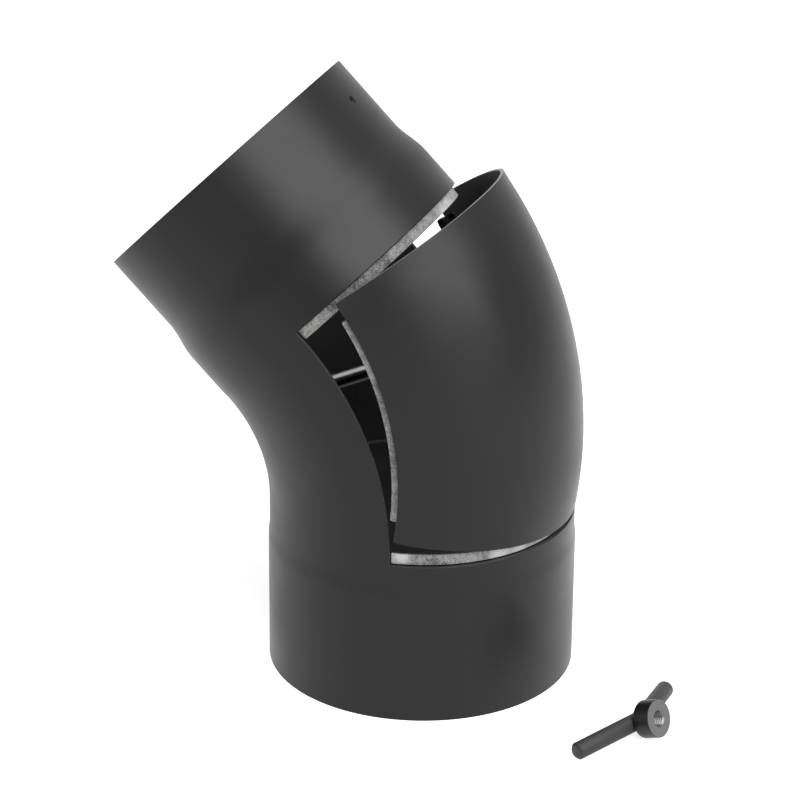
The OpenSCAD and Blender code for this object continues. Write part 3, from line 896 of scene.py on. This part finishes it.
def makeRod():
    throatReach = math.sqrt((tube["bendR"] - tube["outerR"]) ** 2 - clamp["offset"] ** 2)
    tip = -(pinReach - throatReach + rod["out"])
    threadEnd = tip + rod["threadLength"]
    fine = lines([tip + rod["tip"], threadEnd + rod["afterThread"]], thread["pitch"] / rod["ringsPerTurn"])
    coarse = lines([threadEnd + 2 * rod["afterThread"], -rod["shankEnd"]], rod["shankStep"])
    profile = [(tip, 0), (tip, rod["tipR"] - rod["tipEdge"]), (tip + rod["edge"], rod["tipR"])]
    profile += [(x, rod["r"]) for x in (*fine, *coarse)] + rod["neck"]
    shank = turned("clampRod", profile, 28, [darkSteel])
    half, outer, hole = rod["eyeHalf"], rod["eyeR"], rod["pinHoleR"]
    profile = roundProfile([(-half, hole), (-half, outer), (half, outer), (half, hole)], rod["eyeEdge"], 4)
    eye = turned("eye", profile, 48, [darkSteel], closed=True)
    addTree(shank, threadTree, {"Start": tip + rod["threadStart"], "End": threadEnd,
                                "Run Out": rod["runOut"], "Reach": rod["cutReach"], "Material": darkSteel})
    evenShading(shank)
    shank = settle(shank)
    evenShading(eye)
    eye = settle(eye, Matrix.Rotation(math.pi / 2, 4, "Z"))
    join(shank, eye)
    shank.data.transform(Matrix.Translation(pinDrawn) @ Matrix.Rotation(-clamp["angle"], 4, "Y"))
    return finish(shank, "clamp_rod", "dark_steel", "clamp_rod")


# Bracket, pin and the handle's bar: the solids' own form with softened edges
softEdge = {"flat": 0.5, "corner": 35, "bracket": 0.0004, "pin": 0.0004, "bar": 0.0003}


def softened(name, node, material, width, body, slot):
    flat = math.radians(softEdge["flat"])
    work = bmesh.new()
    work.from_mesh(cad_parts[node].data)
    bmesh.ops.remove_doubles(work, verts=work.verts, dist=weldDistance)
    bmesh.ops.dissolve_limit(work, angle_limit=flat, verts=work.verts, edges=work.edges)
    for face in work.faces:
        face.smooth = True
    mesh = bpy.data.meshes.new(name)
    work.to_mesh(mesh)
    work.free()
    mesh.materials.append(material)
    obj = linkObject(name, mesh)
    addBevel(obj, width, softEdge["corner"])
    return finish(settle(obj), body, slot, node)


makeRod()
softened("rodBracket", "rod_bracket", blackPaint, softEdge["bracket"], "door", "black_paint")
softened("bracketPin", "bracket_pin", darkSteel, softEdge["pin"], "door", "dark_steel")

# The T-handle nut, lying with its front tipped up: a turned hub on the flat of a bent bar
handle = {
    "hubR": 0.00935, "hubHalf": 0.00475, "threadR": 0.0034, "mouth": 0.0008, "edge": 0.0004,
    "backEdge": 0.0016, "armR": 0.0043, "armLength": 0.0418, "lean": math.radians(16.5),
    "armChamfer": 0.0012, "armSet": 0.0062, "x": 0.1345, "y": 0.0516, "turn": math.radians(18),
    "ringPitch": 0.00032, "ringDepth": 0.000012, "faceInset": 0.0003, "boreStep": 0.0001,
    "threadInset": 0.0002, "runOut": 0.0006, "cutReach": 0.0036, "margin": 0.0002,
}


# It rests on the hub's back rim and the ends of both arms, so its tilt is found step by step
def layHandle():
    armBack = math.sin(handle["lean"])
    drop = (handle["armLength"] - handle["armChamfer"]) * armBack + handle["armSet"] - handle["hubHalf"]
    tip = 0.0
    for _ in range(12):
        hubLow = handle["hubR"] * math.sqrt(1 - tip ** 2)
        armLow = handle["armR"] * math.sqrt(1 - (armBack * tip) ** 2)
        tip = (hubLow - armLow) / drop
    tipAngle = math.asin(tip)
    z = handle["hubHalf"] * tip + handle["hubR"] * math.cos(tipAngle)
    return (Matrix.Translation((handle["x"], -handle["y"], z)) @ Matrix.Rotation(-handle["turn"], 4, "Z")
            @ Matrix.Rotation(-tipAngle, 4, "Y"))


def makeHub():
    half, hubR, mouthR = handle["hubHalf"], handle["hubR"], handle["threadR"] + handle["mouth"]
    margin = handle["margin"]
    front = roundProfile([(half, mouthR + handle["faceInset"]), (half, hubR), (0, hubR)], handle["edge"])
    ringRadii = lines([mouthR, hubR - handle["edge"]], handle["ringPitch"] / 2)
    rings = [(half - handle["ringDepth"] * (k % 2), r) for k, r in enumerate(ringRadii)]
    back = roundProfile([(0, hubR), (-half, hubR), (-half, mouthR)], handle["backEdge"])
    bore = [(x, handle["threadR"])
            for x in lines([-half + handle["mouth"], half - handle["mouth"]], handle["boreStep"])]
    profile = rings[:-1] + front[1:] + back[1:] + bore
    hub = turned("handleHub", profile, 64, [blackPaint, threadSteelPaintedShade, turnedFace], closed=True)
    for face in hub.data.polygons:
        middle = face.center
        away = math.hypot(middle.y, middle.z)
        if away < mouthR - margin and abs(middle.x) < half - margin / 2:
            face.material_index = 1
        elif middle.x > half - margin and away < hubR - margin:
            face.material_index = 2
    inset = half - handle["threadInset"]
    addTree(hub, threadTree, {"Depth": -thread["nutDepth"], "Start": -inset, "End": inset,
                              "Run Out": handle["runOut"], "Reach": handle["cutReach"],
                              "Material": threadSteelPaintedShade})
    evenShading(hub)
    return finish(settle(hub, layHandle()), "elbow", "black_paint", "handle_hub")


makeHub()
softened("handleArms", "handle_arms", barPaint, softEdge["bar"], "elbow", "black_paint")
print("rod, bracket and handle done")

# Floor, lights and camera
studio = {
    "floor": 0.63, "floorGlow": 0.79, "floorRoughness": 0.9, "floorShine": 0.1, "floorHalf": 4.0,
    "roomLight": 0.3,
    "key": {"power": 78.0, "size": (2.0, 2.5), "place": (1.05, -0.72, 1.52), "target": (-0.03, 0, 0.15)},
    "fill": {"power": 2.0, "size": (1.2, 1.2), "place": (-1.2, -1.0, 0.9), "target": (-0.03, 0, 0.12)},
}


# The floor and the room show plain white to the lens and in mirrors, and light the object less than that
def whiteForCamera(tree):
    path = tree.nodes.new("ShaderNodeLightPath").outputs
    seen = calc(tree, "MAXIMUM", path["Is Camera Ray"], path["Is Glossy Ray"])
    return calc(tree, "MAXIMUM", seen, path["Is Transmission Ray"])


def makeFloor():
    material, tree, shader = startMaterial("floorPaint", studio["floorRoughness"],
                                           Specular_IOR_Level=studio["floorShine"],
                                           Base_Color=shaded(studio["floor"]), Emission_Color=shaded(1.0))
    glow = calc(tree, "MULTIPLY", whiteForCamera(tree), studio["floorGlow"])
    tree.links.new(glow, shader.inputs["Emission Strength"])
    wide = studio["floorHalf"]
    corners = [(-wide, -wide, 0), (wide, -wide, 0), (wide, wide, 0), (-wide, wide, 0)]
    floor = makeObject("floor", corners, [(0, 1, 2, 3)], (), [material])


def makeRoom():
    world = bpy.data.worlds.new("room")
    scene.world = world
    world.use_nodes = True
    tree = world.node_tree
    back = tree.nodes["Background"]
    back.inputs["Color"].default_value = shaded(1.0)
    strength = ramp(tree, whiteForCamera(tree), 0.0, 1.0, studio["roomLight"], 1.0, kind="LINEAR")
    tree.links.new(strength, back.inputs["Strength"])


def addLamp(name, power, size, place, target):
    data = bpy.data.lights.new(name, "AREA")
    data.energy = power
    data.shape = "RECTANGLE"
    data.size, data.size_y = size
    lamp = linkObject(name, data)
    lamp.location = place
    lamp.rotation_mode = "QUATERNION"
    lamp.rotation_quaternion = (Vector(target) - Vector(place)).to_track_quat("-Z", "Y")


makeFloor()
makeRoom()
addLamp("key", **studio["key"])
addLamp("fill", **studio["fill"])

view = {
    "azimuth": math.radians(18.35), "elevation": math.radians(23.5932), "roll": math.radians(0.4959),
    "distance": 1.7014, "aimRight": -0.01052, "aimUp": 0.12640,
    "lens": 149.9, "sensor": 36, "clipStart": 0.05, "clipEnd": 50,
}


def makeCamera():
    az, el, roll = view["azimuth"], view["elevation"], view["roll"]
    backward = Vector((math.sin(az) * math.cos(el), -math.cos(az) * math.cos(el), math.sin(el)))
    level = Vector((math.cos(az), math.sin(az), 0))
    upright = backward.cross(level)
    right = level * math.cos(roll) + upright * math.sin(roll)
    up = -level * math.sin(roll) + upright * math.cos(roll)
    spot = right * view["aimRight"] + up * view["aimUp"] + backward * view["distance"]
    camera = linkObject("camera", bpy.data.cameras.new("camera"))
    camera.data.lens = view["lens"]
    camera.data.sensor_width = view["sensor"]
    camera.data.clip_start = view["clipStart"]
    camera.data.clip_end = view["clipEnd"]
    rows = [(right[i], up[i], backward[i], spot[i]) for i in range(3)]
    camera.matrix_world = Matrix(rows + [(0, 0, 0, 1)])
    scene.camera = camera
    scene.view_settings.view_transform = "Standard"


makeCamera()
print("scene done")
